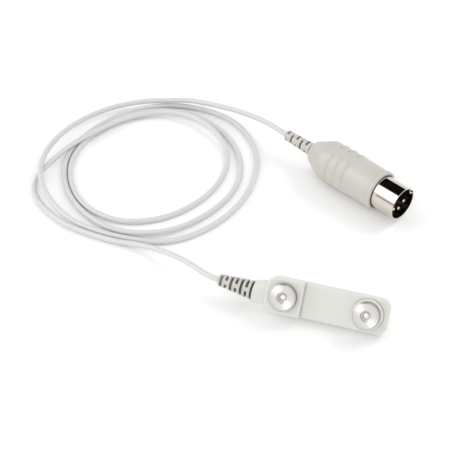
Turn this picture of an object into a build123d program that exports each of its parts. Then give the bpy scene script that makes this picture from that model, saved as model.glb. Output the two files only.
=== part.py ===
"""Bipolar bar electrode: moulded bar with two turned contacts, thin two-core lead and
keyed five-pin plug. All sizes in millimetres, +Z up.

The bar leans back on its lower long edge, as the stiff lead holds it. The origin is under the
middle of the bar and its strain relief. +X runs along the bar, from the lead to the tip.
"""
import os
from math import cos, pi, radians, sin, tan

from build123d import *

os.makedirs("parts", exist_ok=True)

# Bar moulding, measured across from its middle and out from its back face
BAR_WIDTH = 12.8
STRIP_THICKNESS = 4.8
HEAD_THICKNESS = 7.2
HEAD_BACK = 7.0  # from the near contact's centre to the head's cable end
HEAD_REACH = 6.6  # from the near contact's centre to the step down to the strip
TIP_REACH = 7.3  # from the far contact's centre to the tip
TIP_CORNER = 3.2
HEAD_CORNER = 3.7
BAR_EDGE = 0.8  # rounding of the outer edges
PAD_RADIUS = 5.6  # round pad that lifts the far contact to the near one's level
BAR_LEAN = 38.0  # the face's normal above the horizon, in degrees

# Neck, from the head to the strain relief
NECK_LENGTH = 4.2
NECK_ROOT_WIDTH = 10.6
NECK_ROOT_HEIGHT = 6.2
NECK_CORNER = 2.6
NECK_END_RADIUS = 3.9
EXIT_LEVEL = 3.6  # cable's centre above the back face, at the neck's end
EXIT_SIDE = -0.5  # its place across the bar's middle
EXIT_YAW = 6.0  # the neck's end and the strain relief turn away from the bar, in degrees

# Turned contacts and their rivets
CONTACT_PITCH = 30.0
CONTACT_RADIUS = 4.9
CONTACT_FACE = 9.8  # height of both faces above the bar's back
CONTACT_EDGE = 0.5
RECESS_RADIUS = 1.95
RECESS_DEPTH = 2.0
RECESS_EDGE = 0.12
SPIGOT_RADIUS = 1.7
SPIGOT_LENGTH = 1.0
RIVET_RADIUS = 0.75
RIVET_HEAD_RADIUS = 1.35
RIVET_HEAD_LAND = 0.25
RIVET_HEAD_HEIGHT = 1.0
RIVET_TAIL_RADIUS = 1.1
RIVET_TAIL_HEIGHT = 0.4

# Wire channel in the back of the bar, its cover and what lies in it
CHANNEL_WIDTH = 5.2
CHANNEL_DEPTH = 3.0
CHANNEL_CORNER = 1.0
COVER_LEDGE = 1.3
COVER_THICKNESS = 1.2
COVER_EDGE = 0.3
CHANNEL_ROOM = 0.4  # free length past the far tag and round the cores
POCKET_WIDTH = 5.2
POCKET_DEPTH = 6.0
POCKET_START = 7.2  # back from the near contact's centre
POCKET_END = 2.2
TAG_RADIUS = 1.5
TAG_THICKNESS = 0.4
TAG_TAIL_WIDTH = 1.6
TAG_TAIL_REACH = 2.7
CORE_RADIUS = 0.4
CORE_SPREAD = 0.5  # each core's distance from the cable's centre
CORE_DETOUR = 2.08  # the long core's distance from the channel's middle
FERRULE_WALL = 0.5
FERRULE_LENGTH = 1.5

# Cable
CABLE_RADIUS = 1.05
CABLE_SEAT = 0.05  # clearance of the bores that hold the cable
CABLE_IN_HEAD = 6.0  # length inside the neck and the head
CABLE_IN_HOOD = 11.0  # length inside the plug's hood

# Segmented strain reliefs
BOOT_SLEEVE = 0.35  # wall left under the slots
BOOT_BORE_CLEARANCE = 0.25
BOOT_TIP_EDGE = 0.3
BOOT_TIP_LAND = 0.75
SHANK_RADIUS = 2.3
SHANK_LENGTH = 2.4
BAR_BOOT_LENGTH = 13.8
BAR_BOOT_ROOT = 3.6
BAR_BOOT_TIP = 2.15
BAR_BOOT_ROWS = 7
BAR_BOOT_SLOT = 1.05
BAR_BOOT_BRIDGE = 1.5
PLUG_BOOT_LENGTH = 14.0
PLUG_BOOT_ROOT = 2.6
PLUG_BOOT_TIP = 2.1
PLUG_BOOT_ROWS = 6
PLUG_BOOT_SLOT = 0.95
PLUG_BOOT_BRIDGE = 2.1

# Plug hood, measured along its axis from its rear end
PLUG_REAR = (-16.55, 79.44)  # place of the rear end on the floor plan
PLUG_YAW = -26.8
PLUG_ROLL = -56.0  # the key's direction, from straight up towards the front
HOOD_LENGTH = 34.6
HOOD_REAR_RADIUS = 4.3
HOOD_REAR_EDGE = 0.6
HOOD_CONE_LENGTH = 6.4
HOOD_SHOULDER_LENGTH = 2.4
HOOD_SHOULDER_DROP = 0.6  # how far the rear cone stays under the full radius
HOOD_WALL = 1.4  # over the skirt
HOOD_TAPER = 0.25  # fall of the radius towards the lip
HOOD_LIP_LENGTH = 1.7
HOOD_LIP_WALL = 1.0
HOOD_LIP_EDGE = 0.45
HOOD_GAP = 0.4  # open ring round the skirt at the hood's mouth
HOOD_GAP_DEPTH = 1.6
HOOD_CAVITY_START = 8.4
RIB_STATIONS = (12.3, 16.2, 20.2)
RIB_WIDTH = 1.1
RIB_HEIGHT = 0.28
RIB_SPAN = 84.0
RIB_PANELS = 3

# Metal skirt with its key, and the half shells behind it
SKIRT_RADIUS = 6.6
SKIRT_WALL = 0.4
SKIRT_PROUD = 10.2
SKIRT_SEATED = 8.0
SKIRT_RELIEF = 0.2  # its seated part is drawn down by this
SKIRT_SHOULDER = 0.2  # of the proud length, where the step lies outside the hood
KEY_RADIUS = 1.3
SEAM_WIDTH = 0.3
SEAM_ANGLE = 118.0  # from the key
SHELL_LENGTH = 15.5
FIT = 0.05  # clearance of the seats in the plug

# Pins and the insulator that carries them
PIN_RADIUS = 0.725
PIN_CIRCLE = 3.5
PIN_SPACING = 60.0
PIN_COUNT = 5
PIN_RECESS = 1.5  # the tips' depth behind the skirt's rim
PIN_LENGTH = 16.0
PIN_TIP_EDGE = 0.5
PIN_COLLAR_RADIUS = 1.0
CUP_LENGTH = 2.2
CUP_BORE = 0.55
INSERT_DEPTH = 8.5  # its face behind the skirt's rim
INSERT_THICKNESS = 5.5
INSERT_FLANGE = 1.0
INSERT_STEP = 0.6
CLAMP_LENGTH = 2.5
CLAMP_FLAT = 4.6

# Lead routes on the floor plan, from the boots to the coil
BAR_LEAD_OUT = 9.0  # straight length past the strain relief's tip
BAR_LEAD_POINTS = [(-65.65, 14.2, 2.2), (-84.45, 16.4, 1.25)]
PLUG_LEAD_OUT = 6.0
PLUG_LEAD_POINTS = [(-63.45, 102.1, 4.7), (-85.45, 97.9, 3.0)]
ARC_SHARE = 0.45

# Coil: outlines at every 30 degrees about its centre
COIL_CENTRE = (-77.95, 58.1)
COIL_OUTER = [42.6, 44.8, 45.9, 42.8, 41.4, 42.0, 42.6, 48.5, 46.8, 43.2, 44.4, 42.6]
COIL_INNER = [27.5, 30.6, 31.8, 30.9, 29.2, 28.1, 29.8, 29.8, 31.4, 31.1, 28.2, 26.4]
COIL_HEIGHT = 4.6
COIL_EDGE = 1.2

# Bar frame: x along the bar from the near contact, y across its face, z out of the face
lean_cos = cos(radians(BAR_LEAN))
lean_sin = sin(radians(BAR_LEAN))
half_width = BAR_WIDTH / 2
boot_reach = HEAD_BACK + NECK_LENGTH + BAR_BOOT_LENGTH
bar_x = -(CONTACT_PITCH + TIP_REACH - boot_reach) / 2
foremost = CONTACT_RADIUS * lean_sin + CONTACT_FACE * lean_cos
rearmost = (half_width - BAR_EDGE) * lean_sin - BAR_EDGE * lean_cos + BAR_EDGE
bar_y = (foremost - rearmost) / 2
bar_z = BAR_EDGE * (1 - lean_cos - lean_sin) + half_width * lean_cos
BAR = Plane(origin=(bar_x, bar_y, bar_z), x_dir=(1, 0, 0), z_dir=(0, -lean_cos, lean_sin))


def on_bar(x, across, out):
    """A point of the bar's own frame, in the model's frame."""
    return BAR.from_local_coords(Vector(x, across, out))


def along_bar(x, out):
    """A plane square to the bar, its x across the face and its y out of it."""
    return Plane(origin=on_bar(x, 0, out), x_dir=BAR.y_dir, z_dir=BAR.x_dir)


# Where the cable leaves the bar: z of this plane points out along the strain relief
exit_way = Vector(-cos(radians(EXIT_YAW)), sin(radians(EXIT_YAW)), 0)
exit_point = on_bar(-HEAD_BACK - NECK_LENGTH, EXIT_SIDE, EXIT_LEVEL)
EXIT = Plane(origin=exit_point, x_dir=BAR.y_dir, z_dir=exit_way)

# Plug frame: z along the plug from its rear end to its mouth, x towards the key
plug_way = Vector(cos(radians(PLUG_YAW)), sin(radians(PLUG_YAW)), 0)
plug_side = plug_way.cross(Vector(0, 0, 1))
key_way = Vector(0, 0, 1) * cos(radians(PLUG_ROLL)) + plug_side * sin(radians(PLUG_ROLL))
hood_radius = SKIRT_RADIUS + FIT + HOOD_WALL
lip_radius = SKIRT_RADIUS + HOOD_GAP + HOOD_LIP_WALL
plug_height = hood_radius + RIB_HEIGHT
PLUG = Plane(origin=(PLUG_REAR[0], PLUG_REAR[1], plug_height), x_dir=key_way, z_dir=plug_way)
PLUG_PROFILE = Plane(origin=PLUG.origin, x_dir=plug_way, z_dir=plug_way.cross(key_way))
PLUG_AXIS = Axis(PLUG.origin, plug_way)
panel_way = key_way.rotate(Axis((0, 0, 0), plug_way), 120.0)
HOOD_EXIT = Plane(origin=PLUG.origin, x_dir=panel_way.cross(plug_way), z_dir=plug_way * -1)

skirt_mouth = HOOD_LENGTH + SKIRT_PROUD
skirt_start = HOOD_LENGTH - SKIRT_SEATED
shell_start = skirt_start - SHELL_LENGTH
skirt_bore = SKIRT_RADIUS - SKIRT_WALL
skirt_seat = SKIRT_RADIUS - SKIRT_RELIEF
seat_bore = skirt_seat - SKIRT_WALL
skirt_step = HOOD_LENGTH + SKIRT_SHOULDER
insert_front = skirt_mouth - INSERT_DEPTH
insert_back = insert_front - INSERT_THICKNESS
pin_start = skirt_mouth - PIN_RECESS - PIN_LENGTH
cable_bore = CABLE_RADIUS + CABLE_SEAT
boot_bore = CABLE_RADIUS + BOOT_BORE_CLEARANCE

parts = []


def keep(builder, name):
    """Label one finished sub-part and put it on the list to export."""
    builder.part.label = name
    parts.append(builder.part)


# Bar moulding: strip, head block and neck in one piece, open at the back for the wires
bar_length = HEAD_BACK + CONTACT_PITCH + TIP_REACH
contact_places = [("near", 0.0), ("far", CONTACT_PITCH)]
cover_start = -POCKET_START + COVER_LEDGE
cover_end = CONTACT_PITCH + TAG_RADIUS + CHANNEL_ROOM + COVER_LEDGE
cover_middle = (cover_start + cover_end) / 2
channel_start = -POCKET_START + 2 * COVER_LEDGE
channel_length = cover_end - COVER_LEDGE - channel_start
channel_middle = channel_start + channel_length / 2

out_axis = Axis(BAR.origin, BAR.z_dir)


def bar_block(start, top, reach, rims):
    """Part of the bar moulding between two levels, cut off at a reach from the near contact."""
    with BuildPart() as block:
        with BuildSketch(BAR.offset(start)) as outline:
            with Locations((bar_length / 2 - HEAD_BACK, 0)):
                Rectangle(bar_length, BAR_WIDTH)
            corners = outline.vertices().group_by(Axis.X)
            fillet(corners[-1], TIP_CORNER)
            fillet(outline.vertices().group_by(Axis.X)[0], HEAD_CORNER)
            with Locations((reach, 0)):
                Rectangle(bar_length, 2 * BAR_WIDTH, align=(Align.MIN, Align.CENTER), mode=Mode.SUBTRACT)
        extrude(amount=top - start)
        for level in rims:
            fillet(block.faces().filter_by(out_axis).sort_by(out_axis)[level].edges(), BAR_EDGE)
    return block


strip_block = bar_block(0, STRIP_THICKNESS, bar_length, (0, -1))
head_block = bar_block(STRIP_THICKNESS / 2, HEAD_THICKNESS, HEAD_REACH, (-1,))
with BuildPart() as far_pad:
    with BuildSketch(BAR.offset(STRIP_THICKNESS / 2)):
        with Locations((CONTACT_PITCH, 0)):
            Circle(PAD_RADIUS)
    extrude(amount=HEAD_THICKNESS - STRIP_THICKNESS / 2)
    fillet(far_pad.faces().filter_by(out_axis).edges(), BAR_EDGE)
with BuildPart() as bar_body:
    add(strip_block)
    add(head_block)
    add(far_pad)
    with BuildSketch(along_bar(-HEAD_BACK + HEAD_CORNER, EXIT_LEVEL)):
        RectangleRounded(NECK_ROOT_WIDTH, NECK_ROOT_HEIGHT, NECK_CORNER)
    with BuildSketch(EXIT):
        Circle(NECK_END_RADIUS)
    loft()
    with BuildSketch(BAR):
        with Locations((cover_middle, 0)):
            RectangleRounded(cover_end - cover_start, CHANNEL_WIDTH + 2 * COVER_LEDGE, CHANNEL_CORNER)
    extrude(amount=COVER_THICKNESS, mode=Mode.SUBTRACT)
    with BuildSketch(BAR):
        with Locations((channel_middle, 0)):
            RectangleRounded(channel_length, CHANNEL_WIDTH, CHANNEL_CORNER)
    extrude(amount=CHANNEL_DEPTH, mode=Mode.SUBTRACT)
    with BuildSketch(BAR.offset(COVER_THICKNESS)):
        with Locations((-POCKET_END, 0)):
            Rectangle(POCKET_START - POCKET_END, POCKET_WIDTH, align=(Align.MAX, Align.CENTER))
    extrude(amount=POCKET_DEPTH - COVER_THICKNESS, mode=Mode.SUBTRACT)
    with BuildSketch(EXIT):
        Circle(SHANK_RADIUS + FIT)
    extrude(amount=-SHANK_LENGTH - FIT, mode=Mode.SUBTRACT)
    with BuildSketch(EXIT):
        Circle(cable_bore)
    extrude(amount=-CABLE_IN_HEAD, mode=Mode.SUBTRACT)
    for place, contact_x in contact_places:
        with BuildSketch(BAR.offset(HEAD_THICKNESS)):
            with Locations((contact_x, 0)):
                Circle(SPIGOT_RADIUS + FIT)
        extrude(amount=-SPIGOT_LENGTH - FIT, mode=Mode.SUBTRACT)
        with BuildSketch(BAR.offset(HEAD_THICKNESS)):
            with Locations((contact_x, 0)):
                Circle(RIVET_RADIUS + FIT)
        extrude(amount=CHANNEL_DEPTH / 2 - HEAD_THICKNESS, mode=Mode.SUBTRACT)
keep(bar_body, "bar_body")

with BuildPart() as bar_back_cover:
    with BuildSketch(BAR):
        with Locations((cover_middle, 0)):
            RectangleRounded(
                cover_end - cover_start - 2 * FIT,
                CHANNEL_WIDTH + 2 * COVER_LEDGE - 2 * FIT,
                CHANNEL_CORNER - FIT,
            )
    extrude(amount=COVER_THICKNESS)
    cover_outside = bar_back_cover.faces().filter_by(out_axis).sort_by(out_axis)[0]
    chamfer(cover_outside.edges(), COVER_EDGE)
keep(bar_back_cover, "bar_back_cover")


# Each contact is a turned cup: flat face, deep recess, spigot into the moulding
def contact_disc(x):
    face = CONTACT_FACE
    seat = HEAD_THICKNESS
    hole = RIVET_RADIUS + FIT
    floor = face - RECESS_DEPTH
    profile = Plane(origin=on_bar(x, 0, 0), x_dir=BAR.x_dir, z_dir=BAR.y_dir * -1)
    with BuildPart() as disc:
        with BuildSketch(profile):
            with BuildLine():
                Polyline(
                    (hole, seat - SPIGOT_LENGTH),
                    (hole, floor),
                    (RECESS_RADIUS, floor),
                    (RECESS_RADIUS, face - RECESS_EDGE),
                    (RECESS_RADIUS + RECESS_EDGE, face),
                    (CONTACT_RADIUS - CONTACT_EDGE, face),
                    (CONTACT_RADIUS, face - CONTACT_EDGE),
                    (CONTACT_RADIUS, seat),
                    (SPIGOT_RADIUS, seat),
                    (SPIGOT_RADIUS, seat - SPIGOT_LENGTH),
                    close=True,
                )
            make_face()
        revolve(axis=Axis(profile.origin, BAR.z_dir))
    return disc


# The rivet's domed head clamps the contact, its tail clamps the solder tag
def contact_rivet(x):
    floor = CONTACT_FACE - RECESS_DEPTH
    tail_top = CHANNEL_DEPTH - TAG_THICKNESS
    tail = tail_top - RIVET_TAIL_HEIGHT
    profile = Plane(origin=on_bar(x, 0, 0), x_dir=BAR.x_dir, z_dir=BAR.y_dir * -1)
    land = floor + RIVET_HEAD_LAND
    top = floor + RIVET_HEAD_HEIGHT
    with BuildPart() as rivet:
        with BuildSketch(profile):
            with BuildLine():
                Polyline(
                    (0, top),
                    (0, tail),
                    (RIVET_TAIL_RADIUS, tail),
                    (RIVET_TAIL_RADIUS, tail_top),
                    (RIVET_RADIUS, tail_top),
                    (RIVET_RADIUS, floor),
                    (RIVET_HEAD_RADIUS, floor),
                    (RIVET_HEAD_RADIUS, land),
                )
                RadiusArc((RIVET_HEAD_RADIUS, land), (0, top), -dome_radius())
            make_face()
        revolve(axis=Axis(profile.origin, BAR.z_dir))
    return rivet


def dome_radius():
    """Radius of the arc from the rivet head's land to its crown, level at the crown."""
    rise = RIVET_HEAD_HEIGHT - RIVET_HEAD_LAND
    return (RIVET_HEAD_RADIUS**2 + rise**2) / (2 * rise)


def solder_tag(x):
    with BuildPart() as tag:
        with BuildSketch(BAR.offset(CHANNEL_DEPTH - TAG_THICKNESS)):
            with Locations((x, 0)):
                Circle(TAG_RADIUS)
                Rectangle(TAG_TAIL_REACH, TAG_TAIL_WIDTH, align=(Align.MAX, Align.CENTER))
                Circle(RIVET_RADIUS + FIT, mode=Mode.SUBTRACT)
        extrude(amount=TAG_THICKNESS)
    return tag


for place, contact_x in contact_places:
    keep(contact_disc(contact_x), f"contact_disc_{place}")
    keep(contact_rivet(contact_x), f"contact_rivet_{place}")
    keep(solder_tag(contact_x), f"solder_tag_{place}")


def route_radii(points):
    """The largest arc that each corner's two runs allow."""
    radii = []
    for before, here, after in zip(points, points[1:], points[2:]):
        shorter = min((here - before).length, (after - here).length)
        half_turn = radians((here - before).get_angle(after - here)) / 2
        radii.append(ARC_SHARE * shorter / tan(half_turn))
    return radii


def swept(points, radius):
    """A round solid along straight runs joined by tangent arcs, and its path."""
    with BuildPart() as cord:
        with BuildLine() as path:
            FilletPolyline(*points, radius=route_radii(points))
        with BuildSketch(Plane(origin=points[0], z_dir=points[1] - points[0])):
            Circle(radius)
        sweep()
    return cord, path


def tube(name, points, radius):
    """A cord or a wire, kept as a sub-part with its figures printed."""
    points = [Vector(point) for point in points]
    cord, path = swept(points, radius)
    length = sum(edge.length for edge in path.edges())
    ratio = cord.part.volume / (pi * radius**2 * length)
    print(name, "length", round(length, 1), "volume over section times length", round(ratio, 4))
    print(name, "arc radii", [round(arc, 1) for arc in route_radii(points)])
    keep(cord, name)


# Cores in the bar: the short one to the near tag, the long one past it to the far tag
cable_end = EXIT.origin - exit_way * CABLE_IN_HEAD
core_level = CHANNEL_DEPTH - TAG_THICKNESS - CORE_RADIUS - FIT
detour_level = COVER_THICKNESS + 2 * CORE_RADIUS
solder_reach = RIVET_TAIL_RADIUS + CORE_RADIUS
dip = -TAG_TAIL_REACH - 2 * CORE_RADIUS
short_start = cable_end + EXIT.x_dir * CORE_SPREAD
long_start = cable_end - EXIT.x_dir * CORE_SPREAD
tube(
    "lead_wire_near",
    [
        short_start,
        short_start - exit_way * CORE_RADIUS * 2,
        on_bar(dip, CORE_SPREAD / 2, core_level),
        on_bar(-solder_reach, CORE_SPREAD / 2, core_level),
    ],
    CORE_RADIUS,
)
tube(
    "lead_wire_far",
    [
        long_start,
        long_start - exit_way * CORE_RADIUS * 2,
        on_bar(dip, -CORE_DETOUR, detour_level),
        on_bar(CONTACT_PITCH - 2 * TAG_TAIL_REACH, -CORE_DETOUR, detour_level),
        on_bar(CONTACT_PITCH + dip, 0, core_level),
        on_bar(CONTACT_PITCH - solder_reach, 0, core_level),
    ],
    CORE_RADIUS,
)

with BuildPart() as cable_ferrule:
    with BuildSketch(EXIT.offset(-CABLE_IN_HEAD)):
        Circle(CABLE_RADIUS + FERRULE_WALL)
        Circle(CABLE_RADIUS, mode=Mode.SUBTRACT)
    extrude(amount=FERRULE_LENGTH)
keep(cable_ferrule, "cable_ferrule")


# Segmented strain relief: a taper whose slots alternate by a quarter turn
def strain_relief(seat, root, tip, length, rows, slot, bridge):
    pitch = (length - BOOT_TIP_LAND - slot) / (rows - 1)
    with BuildPart() as boot:
        with BuildSketch(seat):
            Circle(root)
        with BuildSketch(seat.offset(length)):
            Circle(tip)
        loft()
        tip_rim = boot.edges().filter_by(GeomType.CIRCLE).sort_by(Axis(seat.origin, seat.z_dir))[-1]
        fillet(tip_rim, BOOT_TIP_EDGE)
        for row in range(rows):
            with BuildSketch(seat.offset(row * pitch)):
                Circle(root + slot)
                Circle(boot_bore + BOOT_SLEEVE, mode=Mode.SUBTRACT)
                Rectangle(3 * root, bridge, rotation=90 * (row % 2), mode=Mode.SUBTRACT)
            extrude(amount=slot, mode=Mode.SUBTRACT)
        with BuildSketch(seat):
            Circle(SHANK_RADIUS)
        extrude(amount=-SHANK_LENGTH)
        with BuildSketch(seat.offset(-SHANK_LENGTH)):
            Circle(boot_bore)
        extrude(amount=SHANK_LENGTH + length, mode=Mode.SUBTRACT)
    return boot


bar_boot = strain_relief(
    EXIT, BAR_BOOT_ROOT, BAR_BOOT_TIP, BAR_BOOT_LENGTH, BAR_BOOT_ROWS, BAR_BOOT_SLOT, BAR_BOOT_BRIDGE
)
keep(bar_boot, "bar_boot")
plug_boot = strain_relief(
    HOOD_EXIT, PLUG_BOOT_ROOT, PLUG_BOOT_TIP, PLUG_BOOT_LENGTH, PLUG_BOOT_ROWS, PLUG_BOOT_SLOT, PLUG_BOOT_BRIDGE
)
keep(plug_boot, "plug_boot")

# Hood: a turned form with a rear cone, three rib panels and a ring lip round the skirt
cone_end = HOOD_CONE_LENGTH
shoulder_end = HOOD_CONE_LENGTH + HOOD_SHOULDER_LENGTH
lip_start = HOOD_LENGTH - HOOD_LIP_LENGTH
with BuildPart() as plug_hood:
    with BuildSketch(PLUG_PROFILE) as hood_profile:
        with BuildLine():
            Line((0, HOOD_REAR_RADIUS - HOOD_REAR_EDGE), (HOOD_REAR_EDGE, HOOD_REAR_RADIUS))
            cone = Line((HOOD_REAR_EDGE, HOOD_REAR_RADIUS), (cone_end, hood_radius - HOOD_SHOULDER_DROP))
            TangentArc(cone @ 1, (shoulder_end, hood_radius), tangent=cone % 1)
            Polyline(
                (shoulder_end, hood_radius),
                (RIB_STATIONS[-1] + RIB_WIDTH, hood_radius),
                (lip_start, hood_radius - HOOD_TAPER),
                (lip_start, lip_radius),
                (HOOD_LENGTH - HOOD_LIP_EDGE, lip_radius),
            )
            RadiusArc(
                (HOOD_LENGTH - HOOD_LIP_EDGE, lip_radius),
                (HOOD_LENGTH, lip_radius - HOOD_LIP_EDGE),
                HOOD_LIP_EDGE,
            )
            Polyline(
                (HOOD_LENGTH, lip_radius - HOOD_LIP_EDGE),
                (HOOD_LENGTH, SKIRT_RADIUS + HOOD_GAP),
                (HOOD_LENGTH - HOOD_GAP_DEPTH, SKIRT_RADIUS + HOOD_GAP),
                (HOOD_LENGTH - HOOD_GAP_DEPTH, skirt_seat + FIT),
                (HOOD_CAVITY_START, skirt_seat + FIT),
                (HOOD_CAVITY_START, cable_bore),
                (SHANK_LENGTH + FIT, cable_bore),
                (SHANK_LENGTH + FIT, SHANK_RADIUS + FIT),
                (0, SHANK_RADIUS + FIT),
                (0, HOOD_REAR_RADIUS - HOOD_REAR_EDGE),
            )
        make_face()
    revolve(axis=PLUG_AXIS)
    for panel in range(RIB_PANELS):
        turn = 360.0 / RIB_PANELS * panel - RIB_SPAN / 2
        rib_normal = PLUG_PROFILE.z_dir.rotate(Axis((0, 0, 0), plug_way), turn)
        rib_plane = Plane(origin=PLUG.origin, x_dir=plug_way, z_dir=rib_normal)
        for station in RIB_STATIONS:
            with BuildSketch(rib_plane):
                with BuildLine():
                    Polyline(
                        (station - RIB_WIDTH / 2, hood_radius),
                        (station - RIB_WIDTH / 2, hood_radius - RIB_HEIGHT),
                        (station + RIB_WIDTH / 2, hood_radius - RIB_HEIGHT),
                        (station + RIB_WIDTH / 2, hood_radius),
                    )
                    ThreePointArc(
                        (station + RIB_WIDTH / 2, hood_radius),
                        (station, hood_radius + RIB_HEIGHT),
                        (station - RIB_WIDTH / 2, hood_radius),
                    )
                make_face()
            revolve(axis=PLUG_AXIS, revolution_arc=RIB_SPAN)
keep(plug_hood, "plug_hood")


def skirt_section(radius, inset, wall=0):
    """A round outline with the key's groove: both taken in by inset, the groove by wall as well."""
    Circle(radius - inset)
    with Locations((SKIRT_RADIUS, 0)):
        Circle(KEY_RADIUS + wall + inset, mode=Mode.SUBTRACT)


# Skirt: keyed tube with a seam, drawn down where it is seated, and the lower half shell behind it
with BuildPart() as shield_skirt:
    with BuildSketch(PLUG.offset(skirt_step)):
        skirt_section(SKIRT_RADIUS, 0)
    extrude(amount=skirt_mouth - skirt_step)
    with BuildSketch(PLUG.offset(skirt_start)):
        skirt_section(skirt_seat, 0)
    extrude(amount=skirt_step - skirt_start)
    with BuildSketch(PLUG.offset(skirt_start)):
        skirt_section(seat_bore, 0, SKIRT_WALL)
    extrude(amount=skirt_mouth - skirt_start, mode=Mode.SUBTRACT)
    with BuildSketch(PLUG.offset(skirt_step + SKIRT_WALL)):
        skirt_section(skirt_bore, 0, SKIRT_WALL)
    extrude(amount=skirt_mouth - skirt_step, mode=Mode.SUBTRACT)
    with BuildSketch(PLUG.offset(insert_front)):
        with PolarLocations(SKIRT_RADIUS, 1, start_angle=SEAM_ANGLE):
            Rectangle(3 * SKIRT_WALL, SEAM_WIDTH)
    extrude(amount=INSERT_DEPTH, mode=Mode.SUBTRACT)
    with BuildSketch(PLUG.offset(shell_start)):
        Circle(skirt_seat)
        Circle(seat_bore, mode=Mode.SUBTRACT)
        Rectangle(SKIRT_RADIUS, 2 * SKIRT_RADIUS, align=(Align.MIN, Align.CENTER), mode=Mode.SUBTRACT)
    extrude(amount=SHELL_LENGTH)
keep(shield_skirt, "shield_skirt")

with BuildPart() as shield_cover:
    with BuildSketch(PLUG.offset(shell_start)):
        Circle(skirt_seat)
        Circle(seat_bore, mode=Mode.SUBTRACT)
        Rectangle(SKIRT_RADIUS, 2 * SKIRT_RADIUS, align=(Align.MAX, Align.CENTER), mode=Mode.SUBTRACT)
    extrude(amount=SHELL_LENGTH - FIT)
keep(shield_cover, "shield_cover")

# Insulator: flange that fills the skirt, and a narrower body behind it
pin_angles = [PIN_SPACING * (index + 1) for index in range(PIN_COUNT)]
with BuildPart() as pin_insert:
    with BuildSketch(PLUG.offset(insert_front - INSERT_FLANGE)):
        skirt_section(skirt_bore, FIT, SKIRT_WALL)
    extrude(amount=INSERT_FLANGE)
    with BuildSketch(PLUG.offset(insert_back)):
        skirt_section(seat_bore, INSERT_STEP, SKIRT_WALL)
    extrude(amount=INSERT_THICKNESS - INSERT_FLANGE)
    with BuildSketch(PLUG.offset(insert_back)):
        with PolarLocations(PIN_CIRCLE, PIN_COUNT - 1, start_angle=pin_angles[0], angular_range=240):
            Circle(PIN_RADIUS + FIT)
        with PolarLocations(PIN_CIRCLE, 1, start_angle=pin_angles[-1]):
            Circle(PIN_RADIUS + FIT)
    extrude(amount=INSERT_THICKNESS, mode=Mode.SUBTRACT)
keep(pin_insert, "pin_insert")


# Pin: turned rod with a rounded tip, a collar behind the insulator and a solder cup
def contact_pin(angle):
    way = PLUG.x_dir.rotate(Axis((0, 0, 0), plug_way), angle)
    profile = Plane(origin=PLUG.origin + way * PIN_CIRCLE, x_dir=plug_way, z_dir=plug_way.cross(way))
    tip = skirt_mouth - PIN_RECESS
    with BuildPart() as pin:
        with BuildSketch(profile):
            with BuildLine():
                Polyline(
                    (tip, PIN_RADIUS - PIN_TIP_EDGE),
                    (tip, 0),
                    (pin_start + CUP_LENGTH, 0),
                    (pin_start + CUP_LENGTH, CUP_BORE),
                    (pin_start, CUP_BORE),
                    (pin_start, PIN_COLLAR_RADIUS),
                    (insert_back - FIT, PIN_COLLAR_RADIUS),
                    (insert_back - FIT, PIN_RADIUS),
                    (tip - PIN_TIP_EDGE, PIN_RADIUS),
                )
                RadiusArc((tip - PIN_TIP_EDGE, PIN_RADIUS), (tip, PIN_RADIUS - PIN_TIP_EDGE), PIN_TIP_EDGE)
            make_face()
        revolve(axis=Axis(profile.origin, plug_way))
    return pin


for number, angle in enumerate(pin_angles, start=1):
    keep(contact_pin(angle), f"pin_{number}")

# Clamp that holds the cable's end between the half shells
with BuildPart() as cable_clamp:
    with BuildSketch(PLUG.offset(HOOD_CAVITY_START + FIT)):
        Circle(seat_bore - FIT)
        Rectangle(4 * SKIRT_RADIUS, 2 * CLAMP_FLAT, mode=Mode.INTERSECT)
        Circle(CABLE_RADIUS, mode=Mode.SUBTRACT)
    extrude(amount=CLAMP_LENGTH)
keep(cable_clamp, "cable_clamp")


# Cores in the plug, from the cable's end into the solder cups of the outer pins
def core_wire(name, angle):
    way = PLUG.x_dir.rotate(Axis((0, 0, 0), plug_way), angle)
    stations = [CABLE_IN_HOOD, CABLE_IN_HOOD + 2, pin_start - 3, pin_start + CUP_LENGTH / 2]
    offsets = [CORE_SPREAD, CORE_SPREAD, PIN_CIRCLE, PIN_CIRCLE]
    points = [PLUG.origin + plug_way * along + way * out for along, out in zip(stations, offsets)]
    tube(name, points, CORE_RADIUS)


core_wire("core_wire_signal", pin_angles[0])
core_wire("core_wire_reference", pin_angles[-1])

# Lead from the bar to the coil, and from the plug to the coil
bar_lead_start = cable_end
bar_lead_turn = EXIT.origin + exit_way * (BAR_BOOT_LENGTH + BAR_LEAD_OUT)
bar_route = [bar_lead_start, bar_lead_turn] + [Vector(point) for point in BAR_LEAD_POINTS]
plug_lead_start = PLUG.origin + plug_way * CABLE_IN_HOOD
plug_lead_turn = PLUG.origin - plug_way * (PLUG_BOOT_LENGTH + PLUG_LEAD_OUT)
plug_route = [plug_lead_start, plug_lead_turn] + [Vector(point) for point in PLUG_LEAD_POINTS]
tube("cable_bar_lead", bar_route, CABLE_RADIUS)
tube("cable_plug_lead", plug_route, CABLE_RADIUS)


def polar_points(radii):
    """Points at even angles about the coil's centre."""
    step = radians(360.0 / len(radii))
    return [(radius * cos(step * index), radius * sin(step * index)) for index, radius in enumerate(radii)]


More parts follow.
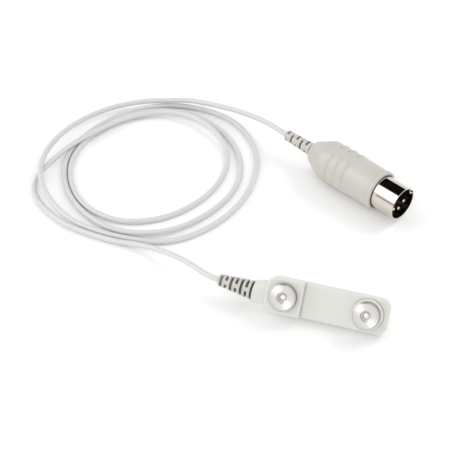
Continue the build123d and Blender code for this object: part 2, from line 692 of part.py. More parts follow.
# Coil: the outer shape of the loose turns, with room for the leads where they run into it
COIL = Plane(origin=(COIL_CENTRE[0], COIL_CENTRE[1], 0))
bar_tunnel, bar_path = swept(bar_route, CABLE_RADIUS + FIT)
plug_tunnel, plug_path = swept(plug_route, CABLE_RADIUS + FIT)
with BuildPart() as cable_coil:
    for radii, mode in ((COIL_OUTER, Mode.ADD), (COIL_INNER, Mode.SUBTRACT)):
        with BuildSketch(COIL):
            with BuildLine():
                Spline(*polar_points(radii), periodic=True)
            make_face()
        extrude(amount=COIL_HEIGHT, mode=mode)
    for level in (0, -1):
        fillet(cable_coil.faces().filter_by(Axis.Z).sort_by(Axis.Z)[level].edges(), COIL_EDGE)
    add(bar_tunnel, mode=Mode.SUBTRACT)
    add(plug_tunnel, mode=Mode.SUBTRACT)
keep(cable_coil, "cable_coil")

for part in parts:
    export_step(part, f"parts/{part.label}.step")
print(len(parts), "parts")
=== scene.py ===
# %% [markdown]
# # A bar electrode on its coiled lead
#
# A clinic presses this bar on the skin to stimulate a nerve, or to record one. Two turned metal
# contacts stand on a stepped plastic moulding, a thin white lead leaves through a segmented strain
# relief, lies in a loose coil and ends in a round five-pin plug with a bright skirt.
#
# The hard pieces come from the CAD model, so this lesson dresses them: a finish for each, a clean
# skin for the plug's hood, turned rings on the contacts, a smooth cable in place of the plain tubes,
# a camera and a studio.

# %% The frame
from math import cos, radians, sin

import bmesh
import bpy
from mathutils import Matrix, Vector


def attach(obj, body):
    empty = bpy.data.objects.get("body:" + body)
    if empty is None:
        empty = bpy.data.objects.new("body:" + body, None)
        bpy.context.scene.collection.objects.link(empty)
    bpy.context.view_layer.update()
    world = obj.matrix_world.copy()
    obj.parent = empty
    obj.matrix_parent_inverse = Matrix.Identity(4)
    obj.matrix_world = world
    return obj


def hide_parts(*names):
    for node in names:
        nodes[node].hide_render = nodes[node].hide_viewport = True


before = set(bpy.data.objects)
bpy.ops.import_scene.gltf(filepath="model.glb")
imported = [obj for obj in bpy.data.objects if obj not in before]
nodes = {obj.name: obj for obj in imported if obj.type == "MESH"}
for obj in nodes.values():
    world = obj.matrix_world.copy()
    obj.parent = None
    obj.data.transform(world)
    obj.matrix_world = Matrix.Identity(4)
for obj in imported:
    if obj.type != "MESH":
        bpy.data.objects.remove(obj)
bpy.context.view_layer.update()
MM = 0.001
scene = bpy.context.scene
print("CAD nodes:", len(nodes))

# %% [markdown]
# The bar leans back on its lower edge. Its own frame helps to place what sits on it: x runs along
# the bar from the near contact, across runs over its face, and out points away from its back. The
# plug has a frame as well, with the distance along its axis from its rear end.

# %% Places on the bar and on the plug, in millimetres
LEAN = radians(38.0)
BAR_ORIGIN = Vector((-6.15, 3.561, 4.720))
ACROSS = Vector((0, sin(LEAN), cos(LEAN)))
OUT = Vector((0, -cos(LEAN), sin(LEAN)))
CONTACT_PITCH = 30.0
CONTACT_FACE = 9.8
EXIT_YAW = radians(6.0)
EXIT = Vector((-17.35, 0.416, 6.543))
EXIT_WAY = Vector((-cos(EXIT_YAW), sin(EXIT_YAW), 0))
PLUG_REAR = Vector((-16.55, 79.44, 8.33))
PLUG_YAW = radians(-26.8)
PLUG_WAY = Vector((cos(PLUG_YAW), sin(PLUG_YAW), 0))


def on_bar(x, across, out):
    return BAR_ORIGIN + Vector((x, 0, 0)) + ACROSS * across + OUT * out


def on_plug(along):
    return PLUG_REAR + PLUG_WAY * along


print("near contact's face", [round(c, 2) for c in on_bar(0, 0, CONTACT_FACE)])

# %% [markdown]
# The camera looks down at 43 degrees from a little to the right, with a narrow view, so that the
# far plug and the near bar keep nearly the same scale.

# %% Camera
CAMERA_TARGET = Vector((-39.79, 36.67, 0.0))
CAMERA_DISTANCE = 550.0
CAMERA_AZIMUTH = radians(17.29)
CAMERA_ELEVATION = radians(43.0)
CAMERA_FIELD = radians(17.689)
CAMERA_SENSOR = 36.0
CAMERA_CLIP = 50.0
camera_way = Vector((
    sin(CAMERA_AZIMUTH) * cos(CAMERA_ELEVATION),
    -cos(CAMERA_AZIMUTH) * cos(CAMERA_ELEVATION),
    sin(CAMERA_ELEVATION),
))
camera_data = bpy.data.cameras.new("camera")
camera_data.sensor_width = CAMERA_SENSOR
camera_data.angle = CAMERA_FIELD
camera_data.clip_start = CAMERA_CLIP * MM
camera = bpy.data.objects.new("camera", camera_data)
camera.location = (CAMERA_TARGET + camera_way * CAMERA_DISTANCE) * MM
camera.rotation_euler = (-camera_way).to_track_quat("-Z", "Y").to_euler()
scene.collection.objects.link(camera)
scene.camera = camera
print("camera at", [round(c, 3) for c in camera.location])

# %% [markdown]
# Materials are node trees. Two helpers keep them short: one turns a hex colour as a picture editor
# shows it into the linear numbers that the shader works with, the other adds a node with its
# settings and its sockets.


# %% Helpers for materials
def linear(hex_colour):
    """The sRGB curve, from a screen's numbers back to amounts of light."""
    channels = [int(hex_colour[i:i + 2], 16) / 255 for i in (1, 3, 5)]
    return [c / 12.92 if c <= 0.04045 else ((c + 0.055) / 1.055) ** 2.4 for c in channels] + [1.0]


def add(tree, kind, sockets=None, **settings):
    """Adds one node. Each socket, by name or number, gets a link or a value."""
    node = tree.nodes.new(kind)
    for name, value in settings.items():
        setattr(node, name, value)
    for name, value in (sockets or {}).items():
        if isinstance(value, bpy.types.NodeSocket):
            tree.links.new(value, node.inputs[name])
        else:
            node.inputs[name].default_value = value
    return node


# A Mix node has sockets for numbers, vectors and colours. These are the two colours and the result.
COLOUR_A, COLOUR_B, COLOUR_OUT = 6, 7, 2


def new_material(name):
    material = bpy.data.materials.new(name)
    material.use_nodes = True
    tree = material.node_tree
    tree.nodes.clear()
    return material, tree


def finish_material(tree, surface):
    add(tree, "ShaderNodeOutputMaterial", {"Surface": surface})


# %% [markdown]
# ## Moulded plastics
#
# The bar is white ABS, injection moulded in a tool with a fine spark-eroded texture: satin, with
# soft unevenness in its gloss and a slight waviness. The hood and the strain reliefs are soft PVC,
# moulded over the cable: greyer, warmer and duller. Both come from one recipe, because they differ
# Inner corners get painted shade: a grey that draws their lines.

# %% One recipe for moulded plastic
PLASTIC_IOR = 1.53
PLASTIC_GLOSS = 0.45
CLOUD_SIZE = 9.0  # of the slow change in colour, in millimetres
GLOSS_SPREAD = 0.06
GRAIN_STRENGTH = 0.35
CORNER_REACH = 0.6  # how far from an inner corner the painted shade reaches, in millimetres
CORNER_OPEN = (0.45, 0.95)  # how open a place is where the grey is fullest, and where it ends
# grey of the painted shade in inner corners
CORNER_SHADE_GREY = "#8d8981"


def moulded_plastic(name, colour, shade, roughness, grain_mm, grain_depth, corner=0.0, slot_shade=None):
    """grain_mm is the size of the tool's texture, shade its slight cloudiness, corner the strength of the
    painted shade in inner corners.
    """
    material, tree = new_material(name)
    place = add(tree, "ShaderNodeTexCoord").outputs["Object"]
    cloud = add(tree, "ShaderNodeTexNoise", {
        "Vector": place, "Scale": 1 / (CLOUD_SIZE * MM), "Detail": 3.0,
    })
    grain = add(tree, "ShaderNodeTexNoise", {
        "Vector": place, "Scale": 1 / (grain_mm * MM), "Detail": 4.0,
    })
    tone = add(tree, "ShaderNodeMix", {
        "Factor": cloud.outputs["Fac"], COLOUR_A: linear(colour), COLOUR_B: linear(shade),
    }, data_type="RGBA").outputs[COLOUR_OUT]
    # Painted shade in the slots of a strain relief, where a maker for it is given.
    if slot_shade:
        tone = slot_shade(tree, place, tone)
    # Painted shade: where ambient occlusion finds an inner corner, the colour turns grey.
    if corner > 0:
        open_air = add(tree, "ShaderNodeAmbientOcclusion", {"Distance": CORNER_REACH * MM},
                       only_local=True, samples=8)
        corner_shade = add(tree, "ShaderNodeMapRange", {
            "Value": open_air.outputs["AO"], "From Min": CORNER_OPEN[0], "From Max": CORNER_OPEN[1],
            "To Min": corner, "To Max": 0.0,
        })
        tone = add(tree, "ShaderNodeMix", {
            "Factor": corner_shade.outputs["Result"], COLOUR_A: tone, COLOUR_B: linear(CORNER_SHADE_GREY),
        }, data_type="RGBA").outputs[COLOUR_OUT]
    gloss = add(tree, "ShaderNodeMapRange", {
        "Value": grain.outputs["Fac"], "From Min": 0.3, "From Max": 0.7,
        "To Min": roughness - GLOSS_SPREAD, "To Max": roughness + GLOSS_SPREAD,
    })
    bump = add(tree, "ShaderNodeBump", {
        "Height": grain.outputs["Fac"], "Strength": GRAIN_STRENGTH, "Distance": grain_depth * MM,
    })
    body = add(tree, "ShaderNodeBsdfPrincipled", {
        "Base Color": tone, "Roughness": gloss.outputs["Result"], "Normal": bump.outputs["Normal"],
        "IOR": PLASTIC_IOR, "Specular IOR Level": PLASTIC_GLOSS,
    })
    finish_material(tree, body.outputs["BSDF"])
    return material


abs_white = moulded_plastic("moulded_ABS_white", "#dcdbd6", "#d6d5cf", 0.45, 0.35, 0.02, corner=0.8)
pvc_grey = moulded_plastic("moulded_soft_PVC_grey", "#c8c4bc", "#c1bdb5", 0.46, 0.5, 0.03, corner=1.0)
print("plastics:", abs_white.name, pvc_grey.name)

# %% [markdown]
# The slots of the strain reliefs are a millimetre wide and reach nearly to the cable. Their shade is
# painted:
# the same soft PVC gets a grey that follows depth, so the slots read as dark lines. Each relief is a cone,
# and how far a point lies under the cone's surface says how dark it is.

# %% Soft PVC with painted shade in its slots
SLOT_SHADE_START = 0.12  # depth under the cone where the painted shade begins, in millimetres
SLOT_SHADE_DEPTH = 0.55  # depth where it is fullest
# grey of the painted shade in the slots
SLOT_SHADE_GREY = "#7d7a74"


def slot_painted_shade(start, way, root, tip, length):
    """Paints shade on what lies under the cone that runs from start along way; sizes in millimetres."""

    def darken(tree, place, tone):
        away = add(tree, "ShaderNodeVectorMath", {0: place, 1: start * MM}, operation="SUBTRACT")
        along = add(tree, "ShaderNodeVectorMath", {0: away.outputs[0], 1: way}, operation="DOT_PRODUCT")
        across = add(tree, "ShaderNodeVectorMath", {0: away.outputs[0], 1: way}, operation="CROSS_PRODUCT")
        reach = add(tree, "ShaderNodeVectorMath", {0: across.outputs[0]}, operation="LENGTH")
        skin = add(tree, "ShaderNodeMapRange", {
            "Value": along.outputs["Value"], "From Max": length * MM,
            "To Min": root * MM, "To Max": tip * MM,
        }, clamp=False)
        depth = add(tree, "ShaderNodeMath", {0: skin.outputs["Result"], 1: reach.outputs["Value"]},
                    operation="SUBTRACT")
        slot_shaded = add(tree, "ShaderNodeMapRange", {
            "Value": depth.outputs[0], "From Min": SLOT_SHADE_START * MM, "From Max": SLOT_SHADE_DEPTH * MM,
        }, interpolation_type="SMOOTHSTEP")
        grey = add(tree, "ShaderNodeMix", {
            "Factor": slot_shaded.outputs["Result"], COLOUR_A: tone, COLOUR_B: linear(SLOT_SHADE_GREY),
        }, data_type="RGBA")
        return grey.outputs[COLOUR_OUT]

    return darken


BAR_BOOT_LENGTH = 13.8
PLUG_BOOT_LENGTH = 14.0
bar_boot_pvc = moulded_plastic(
    "moulded_soft_PVC_bar_relief", "#c6c3bc", "#bfbcb4", 0.55, 0.5, 0.03,
    slot_shade=slot_painted_shade(EXIT, EXIT_WAY, 3.6, 2.15, BAR_BOOT_LENGTH),
)
plug_boot_pvc = moulded_plastic(
    "moulded_soft_PVC_plug_relief", "#c6c3bc", "#bfbcb4", 0.55, 0.5, 0.03,
    slot_shade=slot_painted_shade(PLUG_REAR, -PLUG_WAY, 2.6, 2.1, PLUG_BOOT_LENGTH),
)
print("strain reliefs:", bar_boot_pvc.name, plug_boot_pvc.name)

# %% [markdown]
# ## Turned steel
#
# The contacts are stainless steel, faced on a lathe. The tool leaves fine rings about the centre,
# far too fine to draw, so light stretches across them and the face shows bright and grey sectors.
# An anisotropic shader does that. It is rougher along its tangent, so the tangent points straight
# out from the contact's centre. The first cross product, of the face's normal and the way from the
# centre, runs along the rings, and the second turns it outwards.

# %% Turned steel about one contact's axis
STEEL_FRONT = "#eceae6"
# painted shade: the darker grey of the contact's side walls
STEEL_RIM_SHADE = "#827f7b"
STEEL_ROUGHNESS = (0.38, 0.5)
STEEL_STRETCH = 0.9
TOOL_WAVER = 0.25  # rings of unlike gloss, in millimetres, wider than the real ones so that they show
FRONT_FACING = (0.5, 0.85)  # how squarely a face looks out where the rim ends, and the front begins
RECESS_RADIUS = 3.5
RECESS_BRIGHT = 0.9


def turned_steel(name, centre):
    """Bright faced front; the darker grey on the rim and other walls that don't face out is painted shade.
    """
    material, tree = new_material(name)
    coordinates = add(tree, "ShaderNodeTexCoord")
    away = add(tree, "ShaderNodeVectorMath", {0: coordinates.outputs["Object"], 1: centre * MM},
               operation="SUBTRACT")
    rings = add(tree, "ShaderNodeVectorMath", {0: OUT, 1: away.outputs[0]}, operation="CROSS_PRODUCT")
    outwards = add(tree, "ShaderNodeVectorMath", {0: rings.outputs[0], 1: OUT}, operation="CROSS_PRODUCT")
    way = add(tree, "ShaderNodeVectorMath", {0: outwards.outputs[0]}, operation="NORMALIZE")
    reach = add(tree, "ShaderNodeVectorMath", {0: rings.outputs[0]}, operation="LENGTH")
    ring_number = add(tree, "ShaderNodeMath", {0: reach.outputs["Value"], 1: 1 / (TOOL_WAVER * MM)},
                      operation="MULTIPLY")
    waver = add(tree, "ShaderNodeTexNoise", {"W": ring_number.outputs[0], "Detail": 3.0},
                noise_dimensions="1D")
    facing = add(tree, "ShaderNodeVectorMath", {0: coordinates.outputs["Normal"], 1: OUT},
                 operation="DOT_PRODUCT")
    front = add(tree, "ShaderNodeMapRange", {
        "Value": facing.outputs["Value"], "From Min": FRONT_FACING[0], "From Max": FRONT_FACING[1],
    })
    inside = add(tree, "ShaderNodeMath", {0: reach.outputs["Value"], 1: RECESS_RADIUS * MM},
                 operation="LESS_THAN")
    recess = add(tree, "ShaderNodeMath", {0: inside.outputs[0], 1: RECESS_BRIGHT}, operation="MULTIPLY")
    bright = add(tree, "ShaderNodeMath", {0: front.outputs["Result"], 1: recess.outputs[0]},
                 operation="MAXIMUM")
    # Painted shade: walls that don't face out, outside the recess, get the dark rim grey.
    tone = add(tree, "ShaderNodeMix", {
        "Factor": bright.outputs[0], COLOUR_A: linear(STEEL_RIM_SHADE), COLOUR_B: linear(STEEL_FRONT),
    }, data_type="RGBA")
    gloss = add(tree, "ShaderNodeMapRange", {
        "Value": waver.outputs["Fac"], "To Min": STEEL_ROUGHNESS[0], "To Max": STEEL_ROUGHNESS[1],
    })
    metal = add(tree, "ShaderNodeBsdfPrincipled", {
        "Base Color": tone.outputs[COLOUR_OUT], "Roughness": gloss.outputs["Result"],
        "Tangent": way.outputs[0], "Metallic": 1.0, "Anisotropic": STEEL_STRETCH,
    })
    finish_material(tree, metal.outputs["BSDF"])
    return material


steel_near = turned_steel("turned_stainless_near", on_bar(0, 0, CONTACT_FACE))
steel_far = turned_steel("turned_stainless_far", on_bar(CONTACT_PITCH, 0, CONTACT_FACE))
print("steel:", steel_near.name, steel_far.name)

# %% [markdown]
# ## Plated, bright and hidden metals
#
# The skirt and the pins are brass under bright nickel: nearly a mirror, a little warm. The rivets
# are tumbled stainless, a satin that looks as bright from every side. Tags and the ferrule are bare
# brass. Only the roughness varies over each, in patches of a real size.


# %% Bright metals
def bright_metal(name, colour, smooth, dull, patch_mm):
    """Roughness runs from smooth to dull over patches of patch_mm."""
    material, tree = new_material(name)
    place = add(tree, "ShaderNodeTexCoord").outputs["Object"]
    patch = add(tree, "ShaderNodeTexNoise", {
        "Vector": place, "Scale": 1 / (patch_mm * MM), "Detail": 3.0,
    })
    gloss = add(tree, "ShaderNodeMapRange", {
        "Value": patch.outputs["Fac"], "To Min": smooth, "To Max": dull,
    })
    metal = add(tree, "ShaderNodeBsdfPrincipled", {
        "Base Color": linear(colour), "Metallic": 1.0, "Roughness": gloss.outputs["Result"],
    })
    finish_material(tree, metal.outputs["BSDF"])
    return material


nickel = bright_metal("bright_nickel_plate", "#d9d2c8", 0.05, 0.12, 2.0)
rivet_steel = bright_metal("tumbled_stainless", "#fbfaf7", 0.5, 0.62, 0.5)
brass = bright_metal("bare_brass", "#c9a55c", 0.2, 0.35, 0.8)
print("metals:", nickel.name, rivet_steel.name, brass.name)

# %% [markdown]
# ## Cable, cores and carrier
#
# The jacket is white PVC, extruded: satin, smooth along its length. The pin carrier is black
# phenolic, and the cores inside are coloured PVC, seen only where the slots of the strain relief
# are deep.

# %% Extruded and moulded pieces, and what gets which finish
jacket = moulded_plastic("extruded_PVC_white", "#d6d6d5", "#d1d1d0", 0.4, 0.6, 0.01)
phenolic = moulded_plastic("black_phenolic", "#141414", "#1b1a19", 0.5, 0.4, 0.01)
core_red = moulded_plastic("core_PVC_red", "#a8231c", "#9a1f19", 0.45, 0.4, 0.005)
core_white = moulded_plastic("core_PVC_white", "#e6e5e2", "#dddcd9", 0.45, 0.4, 0.005)

finishes = {
    abs_white: ["bar_body", "bar_back_cover"],
    pvc_grey: ["plug_hood"],
    bar_boot_pvc: ["bar_boot"],
    plug_boot_pvc: ["plug_boot"],
    steel_near: ["contact_disc_near"],
    steel_far: ["contact_disc_far"],
    rivet_steel: ["contact_rivet_near", "contact_rivet_far"],
    nickel: ["shield_skirt", "shield_cover", "cable_clamp", "pin_1", "pin_2", "pin_3", "pin_4", "pin_5"],
    phenolic: ["pin_insert"],
    brass: ["solder_tag_near", "solder_tag_far", "cable_ferrule"],
    core_red: ["lead_wire_near", "core_wire_signal"],
    core_white: ["lead_wire_far", "core_wire_reference"],
    jacket: ["cable_bar_lead", "cable_coil", "cable_plug_lead"],
}
for material, names in finishes.items():
    for name in names:
        nodes[name].data.materials.clear()
        nodes[name].data.materials.append(material)
bare = sorted(set(nodes) - {name for names in finishes.values() for name in names})
print("nodes without a finish:", bare)

# %% [markdown]
# ## The hood's skin
#
# The hood's shape is right in the CAD model, but between its second and third rib the triangles run
# up to 84 degrees round the barrel, so they cut into it and light shows their edges as a crease. A
# merged copy stands for the node: there the strip between the two ribs is laid out anew, on the same
# points, so that each triangle joins points that face each other.

# %% Where a point lies on the hood
HOOD_RADIUS = 8.05
RIB_FEET = (16.75, 19.65)  # stations of the two feet that face each other, in millimetres
FOOT_REACH = 0.02


def off_axis(point):
    """The way from the plug's axis to a point, both in millimetres, and its station on the axis."""
    arm = point / MM - PLUG_REAR
    station = arm.dot(PLUG_WAY)
    return arm - PLUG_WAY * station, station


def foot_of(vertex):
    """0 or 1 for a point at the foot of the second or third rib, otherwise None."""
    across, station = off_axis(vertex.co)
    for number, foot in enumerate(RIB_FEET):
        if abs(station - foot) < FOOT_REACH and abs(across.length - HOOD_RADIUS) < FOOT_REACH:
            return number
    return None


print("a rib's foot is", round(RIB_FEET[1] - RIB_FEET[0], 2), "mm from the next one's")


# %% Which faces make a strip
def groups_of(faces):
    """Each group of faces that hang together, with its points in a fixed order."""
    left = set(faces)
    groups = []
    for first in faces:
        todo = [first] if first in left else []
        group = set()
        while todo:
            face = todo.pop()
            if face in left:
                left.remove(face)
                group.add(face)
                todo += [other for edge in face.edges for other in edge.link_faces]
        if group:
            points = {vertex for face in group for vertex in face.verts}
            groups.append((group, sorted(points, key=lambda vertex: vertex.index)))
    return groups


def is_strip(faces, points):
    """True for one plain band, less than half way round, whose every point has other faces too."""
    ways = [off_axis(vertex.co)[0] for vertex in points]
    middle = sum(ways, Vector())
    return (
        len(faces) == len(points) - 2
        and all(middle.dot(way) > 0 for way in ways)
        and all(set(vertex.link_faces) - faces for vertex in points)
    )


def count_open(shape):
    return sum(not edge.is_manifold for edge in shape.edges)


# %% A copy of the hood with three strips laid out anew
def lay_out(shape, points):
    """Fills the hole between two rows of points, going along both at the same pace."""
    across = {vertex: off_axis(vertex.co)[0] for vertex in points}
    middle = sum(across.values(), Vector()).normalized()
    turn = {vertex: round(PLUG_WAY.dot(middle.cross(way)), 4) for vertex, way in across.items()}
    rows = [sorted((v for v in points if foot_of(v) == foot), key=turn.get) for foot in (0, 1)]
    here = [0, 0]
    while here != [len(row) - 1 for row in rows]:
        ahead = [turn[row[at + 1]] if at + 1 < len(row) else float("inf") for row, at in zip(rows, here)]
        side = int(ahead[1] < ahead[0])
        face = shape.faces.new([rows[0][here[0]], rows[1][here[1]], rows[side][here[side] + 1]])
        here[side] += 1
        face.normal_update()
        if face.normal.dot(off_axis(face.calc_center_median())[0]) < 0:
            face.normal_flip()


MERGE_REACH = 0.0005
SHARP_ANGLE = radians(28)
hood_mesh = nodes["plug_hood"].data.copy()
hood_mesh.name = "hood_skin"
shape = bmesh.new()
shape.from_mesh(hood_mesh)
bmesh.ops.remove_doubles(shape, verts=shape.verts, dist=MERGE_REACH * MM)
shape.verts.index_update()
merged = shape.copy()
old_faces = [face for face in shape.faces if {foot_of(v) for v in face.verts} == {0, 1}]
strips = [(faces, points) for faces, points in groups_of(old_faces) if is_strip(faces, points)]
in_strips = [face for face in old_faces if any(face in faces for faces, points in strips)]
bmesh.ops.delete(shape, geom=in_strips, context="FACES")
for faces, points in strips:
    lay_out(shape, points)
if count_open(shape) > count_open(merged):  # another pack's triangles may fit no strip: keep them
    shape.free()
    shape = merged.copy()
merged.free()
for face in shape.faces:
    face.smooth = True
for edge in shape.edges:
    edge.smooth = edge.is_manifold and edge.calc_face_angle() < SHARP_ANGLE
open_edges = count_open(shape)
shape.to_mesh(hood_mesh)
shape.free()
hood_skin = bpy.data.objects.new("hood_skin", hood_mesh)
scene.collection.objects.link(hood_skin)
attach(hood_skin, "root")
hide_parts("plug_hood")
print("hood skin faces:", len(hood_mesh.polygons), "open edges:", open_edges, "strips:", len(strips))

# %% [markdown]
# ## Turned rings
#
# The lathe's tool leaves rings on each contact's face. A shader alone would look flat from near, so
# the coarsest rings are real ridges. They follow a rule, one more circle at each step outwards, so
# Geometry Nodes make them: points give the count, each gets a circle of its own size, and one thin
# profile runs along them all. Real rings are some 0.05 mm apart, too fine to see, so these are wider.

# %% One tree for the rings of a faced disc
RING_POINTS = 96
RIDGE_SIDES = 8


def rings_tree():
    tree = bpy.data.node_groups.new("turned_rings", "GeometryNodeTree")
    for name, kind in [("Inner Radius", "Float"), ("Pitch", "Float"), ("Count", "Int"),
                       ("Ridge Radius", "Float"), ("Finish", "Material")]:
        tree.interface.new_socket(name, in_out="INPUT", socket_type="NodeSocket" + kind)
    tree.interface.new_socket("Rings", in_out="OUTPUT", socket_type="NodeSocketGeometry")
    sizes = add(tree, "NodeGroupInput").outputs
    points = add(tree, "GeometryNodePoints", {"Count": sizes["Count"]})
    number = add(tree, "GeometryNodeInputIndex")
    step = add(tree, "ShaderNodeMath", {0: number.outputs[0], 1: sizes["Pitch"], 2: sizes["Inner Radius"]},
               operation="MULTIPLY_ADD")
    scale = add(tree, "ShaderNodeCombineXYZ", {"X": step.outputs[0], "Y": step.outputs[0], "Z": 1.0})
    circle = add(tree, "GeometryNodeCurvePrimitiveCircle", {"Resolution": RING_POINTS, "Radius": 1.0})
    circles = add(tree, "GeometryNodeInstanceOnPoints", {
        "Points": points.outputs[0], "Instance": circle.outputs["Curve"], "Scale": scale.outputs[0],
    })
    real = add(tree, "GeometryNodeRealizeInstances", {"Geometry": circles.outputs[0]})
    ridge = add(tree, "GeometryNodeCurvePrimitiveCircle", {
        "Radius": sizes["Ridge Radius"], "Resolution": RIDGE_SIDES,
    })
    swept = add(tree, "GeometryNodeCurveToMesh", {
        "Curve": real.outputs[0], "Profile Curve": ridge.outputs["Curve"],
    })
    finished = add(tree, "GeometryNodeSetMaterial", {
        "Geometry": swept.outputs[0], "Material": sizes["Finish"],
    })
    add(tree, "NodeGroupOutput", {0: finished.outputs[0]})
    return tree


RING_TREE = rings_tree()
RING_SIZES = {
    "Inner Radius": 2.3 * MM, "Pitch": 0.3 * MM, "Count": 7, "Ridge Radius": 0.035 * MM,
}
print("ring tree nodes:", len(RING_TREE.nodes))


# %% Rings on both contacts
def from_nodes(name, tree, values, place):
    """Runs a Geometry Nodes tree once and returns the result as a plain mesh at its place."""
    seed = bpy.data.objects.new(name + "_seed", bpy.data.meshes.new(name + "_seed"))
    scene.collection.objects.link(seed)
    modifier = seed.modifiers.new(name, "NODES")
    modifier.node_group = tree
    for socket in tree.interface.items_tree:
        if socket.in_out == "INPUT":
            modifier[socket.identifier] = values[socket.name]
    evaluated = seed.evaluated_get(bpy.context.evaluated_depsgraph_get())
    mesh = bpy.data.meshes.new_from_object(evaluated)
    seed.modifiers.clear()
    bpy.data.objects.remove(seed)
    mesh.name = name
    mesh.transform(place)
    piece = bpy.data.objects.new(name, mesh)
    scene.collection.objects.link(piece)
    return piece


for name, x, finish in [("near", 0.0, steel_near), ("far", CONTACT_PITCH, steel_far)]:
    turn = OUT.to_track_quat("Z", "Y").to_matrix().to_4x4()
    place = Matrix.Translation(on_bar(x, 0, CONTACT_FACE) * MM) @ turn
    rings = from_nodes("turned_rings_" + name, RING_TREE, {**RING_SIZES, "Finish": finish}, place)
    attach(rings, "root")
    print(rings.name, "faces:", len(rings.data.polygons))

# %% [markdown]
# ## The cable
#
# One curve makes the whole lead, 2.1 mm thick. Its points are the corners of the route: out of the
# bar's strain relief, down to the table, three and a half loose turns, and up into the plug. The
# turns are given as a distance from the coil's centre and a height, one pair for every 30 degrees,
# counted from the plug's end. A NURBS curve of order 3 touches the middle of each run between
# points, so the points lie a little outside the turn: by one over the cosine of half a step.

# %% Route of the lead, in millimetres
CABLE_DIAMETER = 2.1
COIL_CENTRE = Vector((-77.95, 58.1))
COIL_STEP = 30
FIRST_ANGLE = 90
FLAT = 1.1  # height of the axis where the cable lies on the table
turns = [
    (41.1, 3.5), (40.1, 2.8), (40.8, 1.8), (41.4, 3.1), (43.0, 4.8),
    (42.3, 2.0), (40.0, FLAT), (43.2, FLAT), (41.3, FLAT), (41.4, FLAT), (43.6, FLAT),
    (44.7, FLAT), (41.6, FLAT), (37.4, FLAT), (33.6, FLAT), (33.6, FLAT), (33.5, FLAT),
    (34.8, FLAT), (37.9, 1.3), (37.9, 1.8), (35.1, FLAT), (36.1, FLAT), (36.4, FLAT),
    (36.8, FLAT), (37.8, FLAT), (35.2, FLAT), (31.5, FLAT), (31.1, FLAT), (31.0, FLAT),
    (32.4, FLAT), (32.3, FLAT), (29.4, FLAT), (27.6, FLAT), (28.7, FLAT), (31.9, 1.3),
    (33.6, 3.0), (35.0, 2.8), (33.0, 1.7), (29.3, 3.3), (33.9, 3.4), (47.3, FLAT),
    (44.9, FLAT), (42.2, FLAT),
]
bar_run = [
    EXIT - EXIT_WAY * 6.0, EXIT, EXIT + EXIT_WAY * 9.0, EXIT + EXIT_WAY * 18.5,
    (-45.3, 8.4, 5.4), (-57.8, 13.3, 3.4), (-67.5, 15.0, 1.8),
]
plug_run = [
    (-71.35, 100.2, 4.6), (-54.85, 98.4, 5.6), (-40.95, 93.2, 7.2),
    on_plug(-16.5), on_plug(-8.0), on_plug(0.0), on_plug(11.0),
]
reach = 1 / cos(radians(COIL_STEP / 2))
coil_run = []
for index, (radius, height) in enumerate(turns):
    angle = radians(FIRST_ANGLE + COIL_STEP * index)
    x = COIL_CENTRE.x + radius * reach * cos(angle)
    y = COIL_CENTRE.y + radius * reach * sin(angle)
    coil_run.append((x, y, height))
route = [Vector(point) for point in bar_run + coil_run[::-1] + plug_run]
print("points on the lead:", len(route))


# %% One NURBS curve through the route
def nurbs(name, points, radius_mm):
    curve = bpy.data.curves.new(name, "CURVE")
    curve.dimensions = "3D"
    curve.bevel_depth = radius_mm * MM
    curve.bevel_resolution = 5
    curve.resolution_u = 8
    curve.use_fill_caps = True
    spline = curve.splines.new("NURBS")
    spline.points.add(len(points) - 1)
    for point, place in zip(spline.points, points):
        point.co = [c * MM for c in place] + [1.0]
    spline.order_u = 3
    spline.use_endpoint_u = True
    curved = bpy.data.objects.new(name, curve)
    scene.collection.objects.link(curved)
    return curved


cable = nurbs("lead_cable", route, CABLE_DIAMETER / 2)
cable.data.materials.append(jacket)
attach(cable, "root")
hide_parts("cable_bar_lead", "cable_coil", "cable_plug_lead")

# %% [markdown]
# ## Studio
#
# The photograph has a white ground that fades into the background, with soft shadows towards the
# lower left. The floor is matt white and bright enough to fade out where no shadow falls, and the
# world is white to the camera and to the metals. What shapes a bright metal is what it mirrors, so
# three cards stand round the set as in a photographer's tent: a black one above and behind, which
# gives the skirt its black band, a bright one at the left, and a smaller bright one at the left of
# the camera. Only reflections see the cards, so they take no light from the floor.

# %% Floor
FLOOR_REACH = 2500.0
FLOOR_DROP = 0.02  # just under the object, so that the two never share a plane


def sheet_of(name, corners, material):
    mesh = bpy.data.meshes.new(name)
    mesh.from_pydata([Vector(corner) * MM for corner in corners], [], [(0, 1, 2, 3)])
    plane = bpy.data.objects.new(name, mesh)
    plane.data.materials.append(material)
    scene.collection.objects.link(plane)
    return plane


floor_material, floor_tree = new_material("studio_floor_white")
matte = add(floor_tree, "ShaderNodeBsdfDiffuse", {"Color": linear("#fafafa")})
finish_material(floor_tree, matte.outputs["BSDF"])
floor_sides = [(-1, -1), (1, -1), (1, 1), (-1, 1)]
sheet_of(
    "floor", [(x * FLOOR_REACH, y * FLOOR_REACH, -FLOOR_DROP) for x, y in floor_sides], floor_material,
)
print("floor reaches", FLOOR_REACH, "mm each way")

# %% Cards
CARD_DISTANCE = 1000.0
CARDS = [  # name, way to the card, its wide direction, its size in millimetres, colour and strength
    ("black_card_above", (-0.368, 0.613, 0.699), (-0.43, -0.85, 0.52), (1290, 700), "#060606", 1.0),
    ("bright_card_left", (-0.729, -0.21, 0.652), (-0.285, -0.565, -0.502), (860, 700), "#ffffff", 2.4),
    ("bright_card_near", (-0.541, -0.502, 0.723), (0.5, -0.5, 0), (460, 460), "#ffffff", 3.4),
]


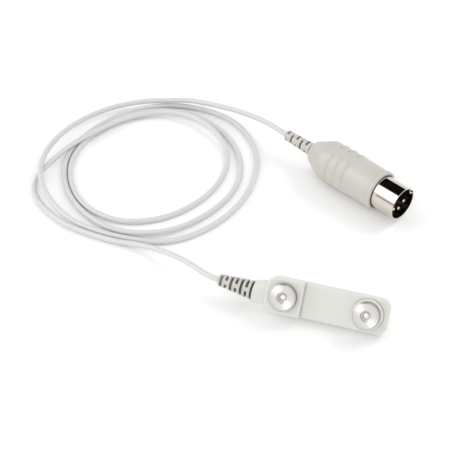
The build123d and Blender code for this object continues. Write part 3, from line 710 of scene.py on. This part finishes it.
def card(name, way, side, size, colour, strength):
    """A card seen only in reflections; side is its wide direction."""
    material, tree = new_material(name)
    glow = add(tree, "ShaderNodeEmission", {"Color": linear(colour), "Strength": strength})
    finish_material(tree, glow.outputs["Emission"])
    way = Vector(way).normalized()
    wide = (Vector(side) - way * way.dot(Vector(side))).normalized() * size[0] / 2
    tall = way.cross(wide).normalized() * size[1] / 2
    middle = way * CARD_DISTANCE
    corners = [middle - wide - tall, middle + wide - tall, middle + wide + tall, middle - wide + tall]
    plane = sheet_of(name, corners, material)
    plane.visible_camera = plane.visible_diffuse = plane.visible_shadow = False
    plane.visible_transmission = plane.visible_volume_scatter = False


for row in CARDS:
    card(*row)

# %% [markdown]
# The world lights everything, a little more from the left than from the right, and only the camera
# and glossy rays see it as plain white. A window behind at the right and one at the left add the
# soft shadows, and a third in front keeps the bar's face as bright as its top side.

# %% World
WORLD_LEFT = 1.08
WORLD_RIGHT = 0.68
world = bpy.data.worlds.new("studio")
scene.world = world
world.use_nodes = True
sky = world.node_tree
sky.nodes.clear()
rays = add(sky, "ShaderNodeLightPath").outputs
white_to = add(sky, "ShaderNodeMath", {0: rays["Is Camera Ray"], 1: rays["Is Glossy Ray"]},
               operation="MAXIMUM")
ray_way = add(sky, "ShaderNodeTexCoord").outputs["Generated"]
rightward = add(sky, "ShaderNodeVectorMath", {0: ray_way, 1: (1, 0, 0)}, operation="DOT_PRODUCT")
soft_light = add(sky, "ShaderNodeMapRange", {
    "Value": rightward.outputs["Value"], "From Min": -1.0, "To Min": WORLD_LEFT, "To Max": WORLD_RIGHT,
})
strength = add(sky, "ShaderNodeMix", {
    "Factor": white_to.outputs[0], "A": soft_light.outputs["Result"], "B": 1.0,
}, data_type="FLOAT")
sky_glow = add(sky, "ShaderNodeBackground", {"Color": linear("#ffffff"), "Strength": strength.outputs[0]})
add(sky, "ShaderNodeOutputWorld", {"Surface": sky_glow.outputs["Background"]})
print("world nodes:", len(sky.nodes))

# %% Lamps
LAMPS = [  # name, place, target and size in millimetres, watts
    ("back_window", (420, 520, 620), (-30, 30, 0), (420, 420), 1.9),
    ("left_window", (-700, -120, 330), (0, 50, 0), (500, 420), 0.8),
    ("front_window", (160, -620, 420), (-30, 30, 0), (500, 400), 1.0),
]


def area_lamp(name, place, target, size, power):
    """A window's soft light. Metals don't mirror it: the cards are what they mirror."""
    lamp = bpy.data.lights.new(name, "AREA")
    lamp.shape = "RECTANGLE"
    lamp.size, lamp.size_y = size[0] * MM, size[1] * MM
    lamp.energy = power
    holder = bpy.data.objects.new(name, lamp)
    holder.location = Vector(place) * MM
    way = (Vector(target) - Vector(place)).normalized()
    holder.rotation_euler = way.to_track_quat("-Z", "Y").to_euler()
    holder.visible_glossy = False
    scene.collection.objects.link(holder)


for row in LAMPS:
    area_lamp(*row)
scene.view_settings.view_transform = "Standard"
